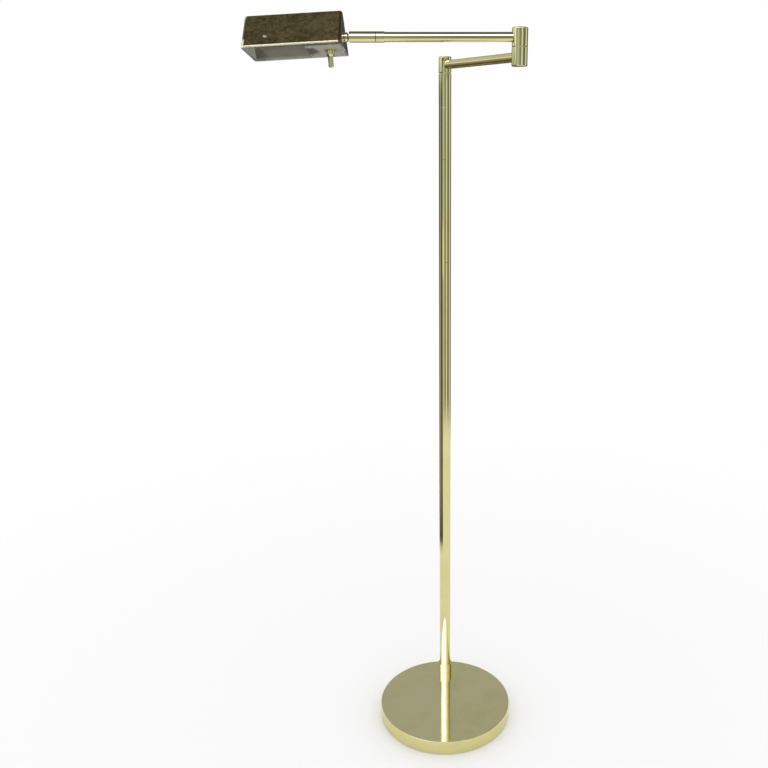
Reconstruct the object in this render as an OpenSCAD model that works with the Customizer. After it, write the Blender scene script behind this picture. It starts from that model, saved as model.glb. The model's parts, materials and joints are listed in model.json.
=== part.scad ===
// Swing arm floor lamp in polished brass: a round weighted base with the pole set
// near its rear edge, two arms that swing about upright axes, and a tent-shaped
// shade on a ball swivel with a rotary dimmer. Millimetres, +Z up. The origin is
// the centre of the base on the floor and the lamp is read from the -Y side.

/* [Base] */
// Diameter of the round base
base_d = 220; // [190:1:260]
// Height of the base's top face above the floor
base_h = 24; // [20:0.5:32]
// Sheet thickness of the spun cover
cover_wall = 1.2; // [0.8:0.1:2]
// Rounding of the cover's top edge
cover_edge = 1; // [0.4:0.1:2]
// Height of the cover's lower edge above the floor
cover_lift = 0.6; // [0.3:0.1:1.2]
// Thickness of the felt pad
pad_h = 2; // [1.5:0.5:4]
// Distance from the rear of the base to the pole's axis
pole_inset = 28; // [24:1:60]
// Diameter of the pocket for the nut under the weight
pocket_d = 34; // [32:1:38]
// Depth of that pocket
pocket_h = 11; // [10:0.5:14]

/* [Cord inlet] */
// Bore for the cord
cord_bore = 6.5; // [5:0.1:8]
// Diameter of the bushing's body
bushing_d = 9.6; // [8.5:0.1:10]
// Diameter of the bushing's flange
bushing_flange_d = 12.6; // [11:0.1:12.8]
// Thickness of that flange
bushing_flange_h = 1.8; // [1:0.1:3]
// Rounding of the flange's outer edge
bushing_edge = 0.9; // [0.3:0.1:0.9]
// Length of the body inside the cover
bushing_len = 7; // [4:0.5:9]
// Height of the inlet's axis above the floor
bushing_z = 7.4; // [7:0.1:7.8]

/* [Pole] */
// Outer diameter of the pole
pole_d = 19; // [17:0.1:25]
// Wall of the pole tube
pole_wall = 1.2; // [0.8:0.1:1.6]
// Rounding of the pole's top edge
pole_edge = 0.3; // [0.2:0.1:1]
// Height of the lower arm's axis above the floor
arm_z = 1069.5; // [800:0.5:1300]
// Outer diameter of the collar at the pole's foot
foot_d = 23.5; // [22:0.1:30]
// Height of that collar
foot_h = 17.5; // [10:0.5:30]
// Diameter of the tie rod that clamps base and pole
rod_d = 9.7; // [8:0.1:11]
// Bore of the tie rod, for the wires
rod_bore = 6.4; // [4:0.1:7]
// Height of the rod's lower end above the pad
rod_rise = 1; // [0.5:0.1:2]
// Width across flats of the nut under the base
nut_af = 17; // [15:0.5:20]
// Height of that nut
nut_h = 6; // [4:0.5:7]
// Height of the chamfer on the corners of the nuts
nut_edge = 0.8; // [0.4:0.1:1.2]
// Diameter of the washer above the base's nut
washer_d = 28; // [22:1:31]
// Thickness of that washer
washer_h = 2; // [1:0.5:3]

/* [Pole swivel] */
// Length of the bearing socket on top of the pole
socket_len = 49; // [44:1:60]
// Length of its bearing bore
bearing_len = 26; // [20:1:30]
// Height of the knuckle that carries the lower arm
knuckle_h = 24; // [20:0.5:30]
// Rounding of the knuckle's top edge
knuckle_edge = 1.8; // [0.5:0.1:2.2]
// Rounding of the knuckle's lower edge
knuckle_lip = 1.4; // [0.3:0.1:1.5]
// Rounding of the socket's two edges
socket_edge = 0.3; // [0.2:0.1:1]
// Rounding of small turned edges
seam_edge = 0.4; // [0.2:0.1:0.8]
// Diameter of the hollow spindles
spindle_d = 11; // [10:0.1:11.4]
// Bore of the spindles, for the wires
spindle_bore = 6.5; // [4:0.1:7]
// Depth of the spindle's seat in the knuckle
spindle_grip = 5; // [4:0.5:7]
// Thickness of the thrust washers
thrust_h = 0.6; // [0.4:0.1:1.2]
// How far the thrust washers stay inside the barrels
thrust_inset = 1.6; // [1.5:0.1:2]
// Height of the retaining rings
ring_h = 3; // [2:0.5:4]
// Radial width of the retaining rings
ring_w = 1.1; // [0.8:0.1:1.4]
// Thickness of the spring washers
spring_h = 0.8; // [0.5:0.1:1]
// Depth of the coupling in the pole and in the socket
coupling_grip = 12; // [8:1:14]

/* [Arms] */
// Outer diameter of both arms
arm_d = 12.7; // [10:0.1:14]
// Wall of the arm tubes
arm_wall = 1; // [0.7:0.1:1.4]
// Lower arm from the pole's axis to the elbow's axis
lower_len = 180; // [140:1:260]
// Upper arm from the elbow's axis to its end collar
upper_len = 180; // [140:1:260]
// Bearing of the lower arm at rest, from +X
lower_bearing = -56.4; // [-180:0.1:180]
// Bearing of the upper arm at rest, from +X
upper_bearing = 180; // [-180:0.1:180]
// Diameter of the elbow's two barrels
elbow_d = 21.4; // [20:0.1:28]
// Height of each barrel
barrel_h = 24.4; // [22:0.1:30]
// Rounding of the elbow's outer edges
elbow_edge = 1.6; // [0.5:0.1:1.8]
// Rounding of the elbow's edges at its seam
elbow_lip = 0.4; // [0.3:0.1:1.5]
// Hollow inside each barrel
elbow_cavity = 15; // [14.4:0.1:15.6]
// Diameter of the flush plugs in the elbow
plug_d = 16.6; // [16.2:0.1:17]
// Diameter of the flush plug in the knuckle
knuckle_plug_d = 13.4; // [12.8:0.1:13.8]
// Thickness of the plugs
plug_h = 2; // [1.5:0.5:3]

/* [Shade swivel] */
// Diameter of the end collar and the swivel sleeve
sleeve_d = 14.2; // [13.8:0.1:18]
// Length of the end collar
collar_len = 11.5; // [9:0.5:16]
// Depth of the arm tube in the collar
collar_grip = 7; // [5:0.5:8]
// Length of the swivel sleeve
sleeve_len = 35.4; // [32:0.1:45]
// Diameter of the collar's spigot inside the sleeve
spigot_d = 10.5; // [10.4:0.1:11]
// Length of the spigot
spigot_len = 22; // [18:0.5:23]
// Bore for the wires through the swivel
swivel_bore = 5; // [3:0.1:6]
// Diameter of the neck's ball
ball_d = 10; // [9.6:0.1:10.2]
// Distance from the ball's centre to the sleeve's end
ball_inset = 2.6; // [2.4:0.1:3]
// Distance from the ball's centre back to the cup's rim
cup_rim = 1.5; // [1:0.1:2.5]
// Diameter of the ball's stud
stud_d = 6; // [5:0.1:6.2]
// Reach of the stud past its nut
stud_over = 1; // [0.5:0.1:2]
// Bore of the stud
stud_bore = 3.6; // [2:0.1:4]
// Distance from the ball's centre to the shade's end
neck_reach = 8.9; // [8.4:0.1:12]
// Diameter of the ring on the neck
neck_ring_d = 12.3; // [10:0.1:13]
// Length of the neck ring's round part
neck_ring_len = 4.1; // [3:0.1:4.3]
// Length of its cone towards the sleeve
neck_cone_len = 1.5; // [1:0.1:1.6]
// Diameter of that cone's small end
neck_cone_d = 7.2; // [6.8:0.1:9]
// Width across flats of the nut inside the shade
neck_nut_af = 11; // [10:0.5:12]
// Height of that nut
neck_nut_h = 3.5; // [2.5:0.5:4]
// Diameter of the screw that holds the sleeve on its spigot
sleeve_screw_d = 3; // [2:0.5:4]
// Depth of the spigot's groove for that screw
groove_depth = 1.2; // [0.8:0.1:1.6]

/* [Shade] */
// Length of the shade
shade_len = 130; // [110:1:180]
// Width of its opening
shade_w = 91; // [80:1:120]
// Height from the opening to the ridge
shade_h = 49; // [46:0.5:60]
// Height of the neck's axis above the opening
neck_rise = 15; // [14:0.5:16]
// Sheet thickness of the shade
shade_wall = 1; // [0.6:0.1:1.2]
// Rounding of the ridge and of the upright edges
shade_edge = 4; // [3.4:0.1:6]
// Diameter of the rolled beads on the long lower edges
bead_d = 3; // [2.4:0.1:3.6]
// Forward tip of the shade about the arm at rest
shade_tip = 6.7; // [-30:0.1:30]
// Droop of the shade's far end at rest
shade_droop = 3.3; // [-10:0.1:10]
// Sheet thickness of the reflector
reflector_wall = 0.5; // [0.3:0.1:0.8]
// Height of the reflector's lower edge above the opening
reflector_lift = 3; // [1:0.5:6]

/* [Switch and lamp] */
// Length of the wiring box at the neck end of the shade
box_len = 48; // [46:1:60]
// Sheet thickness of the box's plate and wall
box_wall = 1; // [0.8:0.1:1.5]
// Length of the wall's foot over the plate
foot_len = 8; // [7:0.5:12]
// Width of the plate's tab under the neck's nut
tab_w = 22; // [18:0.5:26]
// Height of that tab above the neck's axis
tab_h = 11; // [8:0.5:14]
// Distance between the plate's two screws
plate_screw_pitch = 45; // [38:0.5:52]
// Diameter of those screws
plate_screw_d = 3; // [2.5:0.1:4]
// Diameter of their heads
plate_screw_head_d = 5.6; // [5:0.1:7]
// Height of their heads
plate_screw_head_h = 1.4; // [1:0.1:2.5]
// Reach of the screws above the wall's foot
plate_screw_over = 1.5; // [0.5:0.1:3]
// Distance from the shade's neck end to the knob's axis
knob_x = 20.5; // [18:0.5:24]
// Length of the dimmer's body
dimmer_l = 24; // [20:0.5:26]
// Width of the dimmer's body
dimmer_w = 22; // [16:0.5:28]
// Height of the dimmer's body
dimmer_h = 9.5; // [7:0.5:10]
// Diameter of the dimmer's threaded bushing
dimmer_neck_d = 8; // [7.4:0.1:8.6]
// Reach of that bushing below the plate
dimmer_neck_len = 3; // [2.5:0.5:4]
// Diameter of the dimmer's round nut
dimmer_nut_d = 14.4; // [13:0.1:16]
// Thickness of that nut
dimmer_nut_h = 1.2; // [0.8:0.1:1.6]
// Diameter of the dimmer's shaft
shaft_d = 4.8; // [4:0.1:5]
// Depth of the shaft in the dimmer's body
shaft_grip = 6; // [4:0.5:6.5]
// Diameter of the knob's collar at its top
knob_d = 12; // [11:0.1:14]
// Diameter of that collar at its waist
knob_waist_d = 10.4; // [9:0.1:11]
// Length of the collar down to its waist
knob_taper_len = 5; // [4:0.1:5.6]
// Length of the whole collar
knob_collar_len = 7.2; // [6:0.1:9]
// Diameter of the knob's stem
knob_stem_d = 7; // [6.6:0.1:8]
// Length of the knob in all
knob_len = 20.6; // [16:0.1:28]
// Rounding of the stem's end
knob_tip = 1.6; // [0.5:0.1:2.5]
// Height of the lamp's axis above the neck's axis
lamp_z = 7; // [6:0.5:8]
// Diameter of the ceramic lampholder
holder_d = 20; // [18:0.5:22]
// Length of the lampholder behind its flange
holder_len = 14; // [12:0.5:15]
// Diameter of the lampholder's flange
holder_flange_d = 25; // [24:0.5:28]
// Thickness of that flange
holder_flange_h = 3; // [2:0.5:5]
// Diameter of the bulb's metal cap
cap_d = 11; // [10:0.1:12]
// Length of that cap in the lampholder
cap_len = 12; // [9:0.5:13]
// Rounding of the cap's inner end
cap_edge = 2.8; // [1:0.1:4]
// Diameter of the bulb's glass
bulb_d = 15; // [14.5:0.5:17]
// Length of the glass in front of the lampholder
bulb_len = 46; // [36:1:55]
// Length of the glass that widens from the cap
bulb_taper_len = 5; // [3:0.5:8]
// Rounding of the glass's far end
bulb_edge = 7; // [4:0.1:7.2]

/* [Fits] */
// Radial gap between pieces that are fixed together
seat_gap = 0.02; // [0.01:0.01:0.08]
// Radial gap of turning fits
run_gap = 0.05; // [0.02:0.01:0.1]
// Gap between pieces that stay clear of each other
free_gap = 0.3; // [0.2:0.05:0.5]

/* [Hidden] */
$fn = 64;
hull_fn = 32;
cut = 1;
brass = [0.80, 0.72, 0.42];
dark_brass = [0.66, 0.58, 0.33];
iron = [0.24, 0.24, 0.25];
steel = [0.72, 0.72, 0.73];
enamel = [0.74, 0.74, 0.72];
black = [0.10, 0.10, 0.10];
felt = [0.13, 0.20, 0.15];
ceramic = [0.93, 0.92, 0.88];
glass = [0.90, 0.92, 0.92, 0.5];

// heights up the pole
pole_y = base_d / 2 - pole_inset;
pole_id = pole_d - 2 * pole_wall;
knuckle_z = arm_z - knuckle_h / 2;
socket_top = knuckle_z - thrust_h;
socket_z = socket_top - socket_len;
shoulder_z = socket_top - bearing_len;
pocket_top = pad_h + pocket_h;
channel_w = bushing_d + 2 * free_gap;

// the elbow
elbow_x = lower_len * cos(lower_bearing);
elbow_y = pole_y + lower_len * sin(lower_bearing);
upper_z = arm_z + barrel_h + thrust_h;
knuckle_cavity = spindle_d + 2 * free_gap;
floor_h = barrel_h / 2 - arm_d / 2 - free_gap;

// the swivel, measured along the upper arm from the elbow's axis
sleeve_x = upper_len + collar_len;
ball_x = sleeve_x + sleeve_len - ball_inset;
sleeve_bore = spigot_d + 2 * run_gap;
spigot_end = sleeve_x + spigot_len;
groove_x = sleeve_x + spigot_len / 2;

// the shade's section: three edges of one radius, with flat faces between them
ridge_z = shade_h - neck_rise - shade_edge;
open_z = -neck_rise;
ridge_rise = ridge_z - open_z;
face_angle = acos(shade_edge / norm([shade_w / 2, ridge_rise])) - atan2(ridge_rise, shade_w / 2);
skirt_z = open_z - 2 * shade_edge;
skirt_y = (ridge_z - skirt_z) * tan(face_angle);
shade_end = neck_reach + shade_len;
bead_y = (shade_w - bead_d * tan(face_angle) - shade_wall / cos(face_angle)) / 2;
plate_top = open_z + box_wall;
box_x = neck_reach + shade_wall + box_len;
dimmer_x = neck_reach + knob_x;
screw_x = box_x - foot_len / 2;
knob_top = open_z - dimmer_nut_h - free_gap;

// from the shade's outer face to the box's pieces, clear of the rolled beads
box_inset = (shade_wall + bead_d) / 2 + free_gap;

// Shared shapes

// Round bar with its ends rounded off, standing on z = 0
module turned_bar(d, h, top = 0, bottom = 0) {
    rotate_extrude() {
        translate([0, bottom]) square([d / 2, h - top - bottom]);
        translate([0, h - top]) rounded_end(d / 2, top);
        translate([0, bottom]) mirror([0, 1]) rounded_end(d / 2, bottom);
    }
}

// Half section of a rounded end: radius r with the edge rounded by e
module rounded_end(r, e) {
    if (e > 0) {
        square([r - e, e]);
        translate([r - e, 0]) intersection() {
            circle(e);
            square(e);
        }
    }
}

// Tube or washer standing on z = 0
module tube(d, bore, h) {
    difference() {
        cylinder(d = d, h = h);
        translate([0, 0, -cut]) cylinder(d = bore, h = h + 2 * cut);
    }
}

// Hexagonal nut standing on z = 0, its corners turned off at the top
module hex_nut(af, bore, h) {
    corner_d = af / cos(30);
    difference() {
        intersection() {
            cylinder(d = corner_d, h = h, $fn = 6);
            union() {
                cylinder(d = corner_d, h = h - nut_edge);
                translate([0, 0, h - nut_edge]) cylinder(d1 = corner_d, d2 = af, h = nut_edge);
            }
        }
        translate([0, 0, -cut]) cylinder(d = bore, h = h + 2 * cut);
    }
}

// Places of the pieces

module at_pole(z) translate([0, pole_y, z]) children();
module at_elbow(z) translate([elbow_x, elbow_y, z]) children();

// Child's z axis runs along an arm from its first axis
module along_lower_arm() at_pole(arm_z) rotate([0, 90, lower_bearing]) children();
module along_upper_arm() at_elbow(upper_z) rotate([0, 90, upper_bearing]) children();

// Child's x axis runs along the shade from the centre of the neck's ball
module in_sleeve() at_elbow(upper_z) rotate([0, 0, upper_bearing]) rotate([shade_tip, 0, 0]) children();
module in_head() in_sleeve() translate([ball_x, 0, 0]) rotate([0, shade_droop, 0]) children();
module lying(x) translate([x, 0, 0]) rotate([0, 90, 0]) children();

// Base

module base_pad() {
    color(felt) cylinder(d = base_d - 2 * cover_wall - 4 * free_gap, h = pad_h);
}

module base_weight() {
    color(iron) difference() {
        translate([0, 0, pad_h])
            cylinder(d = base_d - 2 * cover_wall - 2 * free_gap, h = base_h - cover_wall - pad_h);
        at_pole(0) cylinder(d = rod_d + 2 * free_gap, h = base_h);
        at_pole(pad_h - cut) cylinder(d = pocket_d, h = pocket_h + cut);
        at_pole(pad_h - cut) translate([-channel_w / 2, 0, 0])
            cube([channel_w, pole_inset, pocket_h + cut]);
    }
}

module base_cover() {
    inner_r = base_d / 2 - cover_wall;
    color(brass) difference() {
        translate([0, 0, cover_lift]) turned_bar(base_d, base_h - cover_lift, top = cover_edge);
        cylinder(r = inner_r, h = base_h - cover_wall);
        at_pole(base_h - cover_wall - cut) cylinder(d = rod_d + 2 * free_gap, h = cover_wall + 2 * cut);
        translate([0, base_d / 2 + cut, bushing_z]) rotate([90, 0, 0])
            cylinder(d = bushing_d + 2 * seat_gap, h = cut + 2 * cover_wall);
    }
}

module cord_bushing() {
    color(black) translate([0, base_d / 2 + bushing_flange_h, bushing_z]) rotate([90, 0, 0])
        difference() {
            union() {
                mirror([0, 0, 1]) translate([0, 0, -bushing_flange_h])
                    turned_bar(bushing_flange_d, bushing_flange_h, top = bushing_edge);
                cylinder(d = bushing_d, h = bushing_flange_h + cover_wall + bushing_len);
            }
            translate([0, 0, -cut]) cylinder(d = cord_bore, h = bushing_flange_h + bushing_len + 4 * cut);
        }
}

module base_washer() {
    color(steel) at_pole(pocket_top - washer_h) tube(washer_d, rod_d + 2 * free_gap, washer_h);
}

module base_nut() {
    color(steel) at_pole(pocket_top - washer_h) mirror([0, 0, 1])
        hex_nut(nut_af, rod_d + 2 * seat_gap, nut_h);
}

module tie_rod() {
    rod_z = pad_h + rod_rise;
    color(steel) at_pole(rod_z) tube(rod_d, rod_bore, socket_z + coupling_grip - rod_z);
}

// Pole

module foot_collar() {
    color(brass) at_pole(base_h) difference() {
        turned_bar(foot_d, foot_h, top = seam_edge, bottom = seam_edge);
        translate([0, 0, -cut]) cylinder(d = pole_d + 2 * seat_gap, h = foot_h + 2 * cut);
    }
}

module pole_tube() {
    color(brass) at_pole(base_h) difference() {
        turned_bar(pole_d, socket_z - base_h, top = pole_edge);
        translate([0, 0, -cut]) cylinder(d = pole_id, h = socket_z - base_h + 2 * cut);
    }
}

module rod_coupling() {
    color(dark_brass) at_pole(socket_z - coupling_grip)
        tube(pole_id - 2 * seat_gap, rod_d + 2 * seat_gap, 2 * coupling_grip);
}

module swivel_socket() {
    color(brass) at_pole(socket_z) difference() {
        turned_bar(pole_d, socket_len, top = socket_edge, bottom = socket_edge);
        translate([0, 0, -cut]) cylinder(d = pole_id, h = socket_len - bearing_len + cut);
        cylinder(d = spindle_d + 2 * run_gap, h = socket_len + cut);
    }
}

module swivel_washer() {
    color(dark_brass) at_pole(socket_top)
        tube(pole_d - 2 * thrust_inset, spindle_d + 2 * free_gap, thrust_h);
}

// Knuckle and lower arm

module swivel_spindle() {
    low = shoulder_z - spring_h - ring_h;
    color(steel) at_pole(low) tube(spindle_d, spindle_bore, knuckle_z + spindle_grip - low);
}

module spindle_ring() {
    color(steel) at_pole(shoulder_z - spring_h - ring_h)
        tube(spindle_d + 2 * ring_w, spindle_d + 2 * seat_gap, ring_h);
}

module spindle_spring() {
    color(steel) at_pole(shoulder_z - spring_h)
        tube(spindle_d + 2 * ring_w, spindle_d + 2 * run_gap, spring_h);
}

module knuckle() {
    color(brass) difference() {
        at_pole(knuckle_z) turned_bar(pole_d, knuckle_h, top = knuckle_edge, bottom = knuckle_lip);
        at_pole(knuckle_z - cut) cylinder(d = spindle_d + 2 * seat_gap, h = knuckle_h / 2);
        at_pole(knuckle_z + spindle_grip) cylinder(d = knuckle_cavity, h = knuckle_h);
        at_pole(knuckle_z + knuckle_h - plug_h)
            cylinder(d = knuckle_plug_d + 2 * seat_gap, h = plug_h + cut);
        along_lower_arm() cylinder(d = arm_d + 2 * seat_gap, h = pole_d);
    }
}

module knuckle_plug() {
    color(brass) at_pole(knuckle_z + knuckle_h - plug_h) cylinder(d = knuckle_plug_d, h = plug_h);
}

module lower_arm_tube() {
    start = knuckle_cavity / 2 + free_gap;
    finish = lower_len - elbow_cavity / 2 - free_gap;
    color(brass) along_lower_arm() translate([0, 0, start])
        tube(arm_d, arm_d - 2 * arm_wall, finish - start);
}

// Elbow

// One half of the elbow, its bearing floor at the bottom and its plug at the top
module elbow_barrel(floor_bore) {
    difference() {
        translate([0, 0, -barrel_h / 2])
            turned_bar(elbow_d, barrel_h, top = elbow_edge, bottom = elbow_lip);
        translate([0, 0, floor_h - barrel_h / 2]) cylinder(d = elbow_cavity, h = barrel_h);
        translate([0, 0, -barrel_h / 2 - cut]) cylinder(d = floor_bore, h = barrel_h);
        translate([0, 0, barrel_h / 2 - plug_h])
            cylinder(d = plug_d + 2 * seat_gap, h = plug_h + cut);
    }
}

module elbow_lower() {
    color(brass) difference() {
        at_elbow(arm_z) mirror([0, 0, 1]) elbow_barrel(spindle_d + 2 * seat_gap);
        along_lower_arm() translate([0, 0, lower_len - elbow_d])
            cylinder(d = arm_d + 2 * seat_gap, h = elbow_d);
    }
}

module elbow_plug() {
    color(brass) at_elbow(arm_z - barrel_h / 2) cylinder(d = plug_d, h = plug_h);
}

module elbow_spindle() {
    low = arm_z + barrel_h / 2 - floor_h;
    high = upper_z - barrel_h / 2 + floor_h + spring_h + ring_h;
    color(steel) at_elbow(low) tube(spindle_d, spindle_bore, high - low);
}

module elbow_washer() {
    color(dark_brass) at_elbow(arm_z + barrel_h / 2)
        tube(elbow_d - 2 * thrust_inset, spindle_d + 2 * free_gap, thrust_h);
}

module elbow_spring() {
    color(steel) at_elbow(upper_z - barrel_h / 2 + floor_h)
        tube(spindle_d + 2 * ring_w, spindle_d + 2 * run_gap, spring_h);
}

module elbow_ring() {
    color(steel) at_elbow(upper_z - barrel_h / 2 + floor_h + spring_h)
        tube(spindle_d + 2 * ring_w, spindle_d + 2 * seat_gap, ring_h);
}

module elbow_upper() {
    color(brass) difference() {
        at_elbow(upper_z) elbow_barrel(spindle_d + 2 * run_gap);
        along_upper_arm() cylinder(d = arm_d + 2 * seat_gap, h = elbow_d);
    }
}

module elbow_cap() {
    color(brass) at_elbow(upper_z + barrel_h / 2 - plug_h) cylinder(d = plug_d, h = plug_h);
}

// Upper arm and shade swivel

module upper_arm_tube() {
    start = elbow_cavity / 2 + free_gap;
    color(brass) along_upper_arm() translate([0, 0, start])
        tube(arm_d, arm_d - 2 * arm_wall, upper_len + collar_grip - start);
}

module arm_collar() {
    color(brass) along_upper_arm() difference() {
        union() {
            translate([0, 0, upper_len])
                turned_bar(sleeve_d, collar_len, top = seam_edge, bottom = seam_edge);
            translate([0, 0, sleeve_x - cut]) cylinder(d = spigot_d, h = spigot_len + cut);
        }
        translate([0, 0, upper_len - cut]) cylinder(d = arm_d + 2 * seat_gap, h = collar_grip + cut);
        translate([0, 0, upper_len]) cylinder(d = swivel_bore, h = collar_len + spigot_len + cut);
        translate([0, 0, groove_x]) rotate_extrude()
            translate([spigot_d / 2 - groove_depth, -sleeve_screw_d / 2 - free_gap])
                square([groove_depth + cut, sleeve_screw_d + 2 * free_gap]);
    }
}

module swivel_sleeve() {
    color(brass) in_sleeve() difference() {
        lying(sleeve_x) turned_bar(sleeve_d, sleeve_len, top = seam_edge, bottom = seam_edge);
        lying(sleeve_x - cut) cylinder(d = sleeve_bore, h = ball_x - sleeve_x + cut);
        translate([ball_x, 0, 0]) sphere(d = ball_d + 2 * run_gap);
        translate([groove_x, 0, 0]) rotate([90, 0, 0])
            cylinder(d = sleeve_screw_d + 2 * seat_gap, h = sleeve_d);
    }
}

module sleeve_screw() {
    tip_r = spigot_d / 2 - groove_depth + free_gap;
    color(steel) in_sleeve() translate([groove_x, 0, 0]) rotate([90, 0, 0])
        translate([0, 0, tip_r]) cylinder(d = sleeve_screw_d, h = sleeve_d / 2 - free_gap - tip_r);
}

module ball_cup() {
    start = spigot_end + spring_h;
    color(ceramic) in_sleeve() difference() {
        lying(start) cylinder(d = spigot_d, h = ball_x - cup_rim - start);
        lying(start - cut) cylinder(d = swivel_bore, h = sleeve_len);
        translate([ball_x, 0, 0]) sphere(d = ball_d + 2 * run_gap);
    }
}

module cup_spring() {
    color(steel) in_sleeve() lying(spigot_end) tube(spigot_d, swivel_bore, spring_h);
}

module neck_stud() {
    stud_len = neck_reach + shade_wall + box_wall + neck_nut_h + stud_over;
    color(dark_brass) in_head() difference() {
        union() {
            sphere(d = ball_d);
            lying(0) cylinder(d = stud_d, h = stud_len);
        }
        lying(-ball_d) cylinder(d = stud_bore, h = ball_d + stud_len + cut);
    }
}

module neck_ring() {
    start = neck_reach - neck_ring_len;
    color(brass) in_head() difference() {
        union() {
            lying(start) turned_bar(neck_ring_d, neck_ring_len, top = seam_edge);
            lying(start - neck_cone_len) cylinder(d1 = neck_cone_d, d2 = neck_ring_d, h = neck_cone_len);
        }
        lying(0) cylinder(d = stud_d + 2 * seat_gap, h = neck_reach + cut);
        sphere(d = ball_d + 2 * seat_gap);
    }
}

module neck_nut() {
    color(steel) in_head() lying(neck_reach + shade_wall + box_wall)
        hex_nut(neck_nut_af, stud_d + 2 * seat_gap, neck_nut_h);
}

// Shade and wiring box

// Solid tent with every face moved inwards by inset, open end still to be cut. Its
// edges are many-sided balls, made larger so that their flats reach the true radius
module tent(inset) {
    edges = [[0, ridge_z], [skirt_y, skirt_z], [-skirt_y, skirt_z]];
    edge_r = (shade_edge - inset) / cos(180 / hull_fn);
    hull() for (x = [neck_reach + shade_edge, shade_end - shade_edge], e = edges)
        translate([x, e.x, e.y]) sphere(r = edge_r, $fn = hull_fn);
}

// Block that holds all of the shade between two x and two z
module slice(x0, x1, z0, z1) {
    translate([x0, -shade_w, z0]) cube([x1 - x0, 2 * shade_w, z1 - z0]);
}

module bead() {
    translate([0, bead_y, open_z + bead_d / 2]) {
        lying(neck_reach + shade_edge) cylinder(d = bead_d, h = shade_len - 2 * shade_edge);
        for (x = [neck_reach + shade_edge, shade_end - shade_edge])
            translate([x, 0, 0]) sphere(d = bead_d);
    }
}

module shade() {
    color(dark_brass) in_head() difference() {
        union() {
            difference() {
                tent(0);
                tent(shade_wall);
                slice(0, shade_end + cut, skirt_z - 2 * shade_edge, open_z);
            }
            bead();
            mirror([0, 1, 0]) bead();
        }
        lying(0) cylinder(d = stud_d + 2 * free_gap, h = neck_reach + 2 * shade_wall);
    }
}

module reflector() {
    outer = shade_wall + free_gap / 2;
    start = box_x + box_wall + free_gap;
    color(enamel) in_head() intersection() {
        difference() {
            tent(outer);
            tent(outer + reflector_wall);
        }
        slice(start, shade_end, open_z + reflector_lift, shade_h);
    }
}

// Upright wall between the wiring box and the lamp, with a foot over the plate
module box_wall_plate() {
    color(enamel) in_head() difference() {
        intersection() {
            tent(box_inset);
            union() {
                slice(box_x, box_x + box_wall, plate_top, shade_h);
                slice(box_x - foot_len, box_x + box_wall, plate_top, plate_top + box_wall);
            }
        }
        translate([0, 0, lamp_z]) lying(box_x - cut)
            cylinder(d = holder_d + 2 * seat_gap, h = box_wall + 2 * cut);
        plate_screw_holes();
    }
}

module at_plate_screws() {
    for (side = [-1, 1])
        translate([screw_x, side * plate_screw_pitch / 2, open_z]) children();
}

module plate_screw_holes() {
    at_plate_screws() translate([0, 0, -cut])
        cylinder(d = plate_screw_d + 2 * seat_gap, h = 2 * box_wall + 2 * cut);
}

// Plate that closes the wiring box, its tab clamped by the neck's nut
module switch_plate() {
    color(enamel) in_head() difference() {
        union() {
            intersection() {
                tent(box_inset);
                slice(neck_reach, box_x + box_wall, open_z, plate_top);
            }
            translate([neck_reach + shade_wall, -tab_w / 2, open_z]) {
                cube([box_wall, tab_w, tab_h - open_z]);
                cube([box_len, tab_w, box_wall]);
            }
        }
        lying(0) cylinder(d = stud_d + 2 * free_gap, h = box_x);
        translate([dimmer_x, 0, open_z - cut])
            cylinder(d = dimmer_neck_d + 2 * seat_gap, h = box_wall + 2 * cut);
        plate_screw_holes();
    }
}

module plate_screws() {
    color(steel) in_head() at_plate_screws() {
        mirror([0, 0, 1]) turned_bar(plate_screw_head_d, plate_screw_head_h, top = seam_edge);
        cylinder(d = plate_screw_d, h = 2 * box_wall + plate_screw_over);
    }
}

// Lamp

module lamp_holder() {
    color(ceramic) in_head() translate([0, 0, lamp_z]) difference() {
        union() {
            lying(box_x + box_wall) turned_bar(holder_flange_d, holder_flange_h, top = seam_edge);
            lying(box_x + box_wall - holder_len) cylinder(d = holder_d, h = holder_len + cut);
        }
        lying(box_x + box_wall + holder_flange_h - cap_len)
            cylinder(d = cap_d + 2 * run_gap, h = cap_len + cut);
    }
}

module bulb_cap() {
    color(steel) in_head() translate([0, 0, lamp_z]) lying(box_x + box_wall + holder_flange_h - cap_len)
        turned_bar(cap_d, cap_len, bottom = cap_edge);
}

module bulb_glass() {
    color(glass) in_head() translate([0, 0, lamp_z]) lying(box_x + box_wall + holder_flange_h) {
        cylinder(d1 = cap_d, d2 = bulb_d, h = bulb_taper_len);
        translate([0, 0, bulb_taper_len]) turned_bar(bulb_d, bulb_len - bulb_taper_len, top = bulb_edge);
    }
}

// Dimmer

module dimmer() {
    color(black) in_head() translate([dimmer_x, 0, plate_top]) difference() {
        union() {
            translate([-dimmer_l / 2, -dimmer_w / 2, 0]) cube([dimmer_l, dimmer_w, dimmer_h]);
            translate([0, 0, -box_wall - dimmer_neck_len])
                cylinder(d = dimmer_neck_d, h = box_wall + dimmer_neck_len + cut);
        }
        translate([0, 0, -box_wall - dimmer_neck_len - cut])
            cylinder(d = shaft_d + 2 * run_gap, h = box_wall + dimmer_neck_len + cut + shaft_grip);
    }
}

module dimmer_nut() {
    color(dark_brass) in_head() translate([dimmer_x, 0, open_z]) mirror([0, 0, 1]) difference() {
        turned_bar(dimmer_nut_d, dimmer_nut_h, top = seam_edge);
        translate([0, 0, -cut]) cylinder(d = dimmer_neck_d + 2 * seat_gap, h = dimmer_nut_h + 2 * cut);
    }
}

module dimmer_shaft() {
    high = plate_top + shaft_grip - free_gap;
    low = knob_top - knob_collar_len;
    color(steel) in_head() translate([dimmer_x, 0, low]) cylinder(d = shaft_d, h = high - low);
}

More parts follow.
